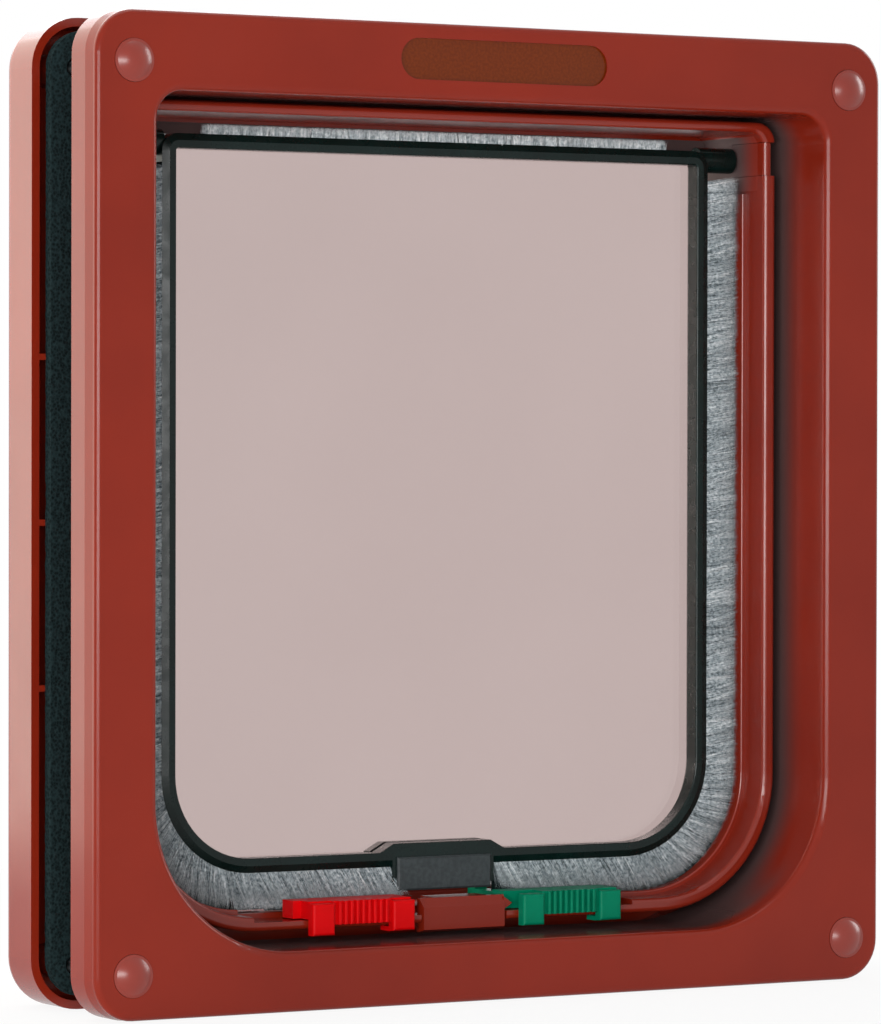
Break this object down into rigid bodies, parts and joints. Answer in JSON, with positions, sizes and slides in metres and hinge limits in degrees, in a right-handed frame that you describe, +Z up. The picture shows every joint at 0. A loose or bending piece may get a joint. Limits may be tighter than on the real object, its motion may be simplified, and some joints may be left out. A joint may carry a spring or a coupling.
{
  "type": "cat flap",
  "caption": "Lockable cat flap: tinted swinging panel with a brush seal and magnet closure in screwed front and rear frames, with sliding entry and exit locks.",
  "frame": {"origin": "middle of the footprint, on the plane that both frames' bottom edges stand on", "axes": "+Z up, +Y from the room side into the door, +X to the right seen from the room"},
  "size_m": [0.236, 0.054, 0.252],
  "materials": {
    "frame_plastic": "satin moulded plastic, red-brown",
    "foam": "open-cell foam strip, near black",
    "magnet": "smooth dark grey ferrite",
    "steel": "zinc plated",
    "tinted_panel": "clear tinted polycarbonate",
    "black_plastic": "black moulded plastic",
    "brush_pile": "blue-grey brush pile",
    "red_plastic": "bright red moulded plastic",
    "green_plastic": "green moulded plastic"
  },
  "bodies": {
    "frames": {"front_frame": "frame_plastic", "rear_frame": "frame_plastic", "foam_gasket": "foam", "hinge_keeper_left": "frame_plastic", "hinge_keeper_right": "frame_plastic", "magnet_keeper": "frame_plastic", "frame_magnet": "magnet", "screw_top_left": "steel", "screw_top_right": "steel", "screw_bottom_left": "steel", "screw_bottom_right": "steel", "screw_cap_top_left": "frame_plastic", "screw_cap_top_right": "frame_plastic", "screw_cap_bottom_left": "frame_plastic", "screw_cap_bottom_right": "frame_plastic"},
    "flap": {"flap_panel": "tinted_panel", "flap_border": "black_plastic", "flap_magnet": "magnet", "brush_left": "brush_pile", "brush_right": "brush_pile", "brush_top": "brush_pile", "hinge_pin_left": "steel", "hinge_pin_right": "steel"},
    "entry_lock": {"entry_lock": "red_plastic"},
    "exit_lock": {"exit_lock": "green_plastic"}
  },
  "joints": [
    {"name": "flap_swing", "type": "hinge", "parent": "frames", "child": "flap", "pos_m": [0, 0.011, 0.2212], "axis": [1, 0, 0], "range_deg": [-75, 75]},
    {"name": "entry_lock_slide", "type": "slide", "parent": "frames", "child": "entry_lock", "axis": [-1, 0, 0], "range_m": [0, 0.008]},
    {"name": "exit_lock_slide", "type": "slide", "parent": "frames", "child": "exit_lock", "axis": [-1, 0, 0], "range_m": [0, 0.005]}
  ]
}
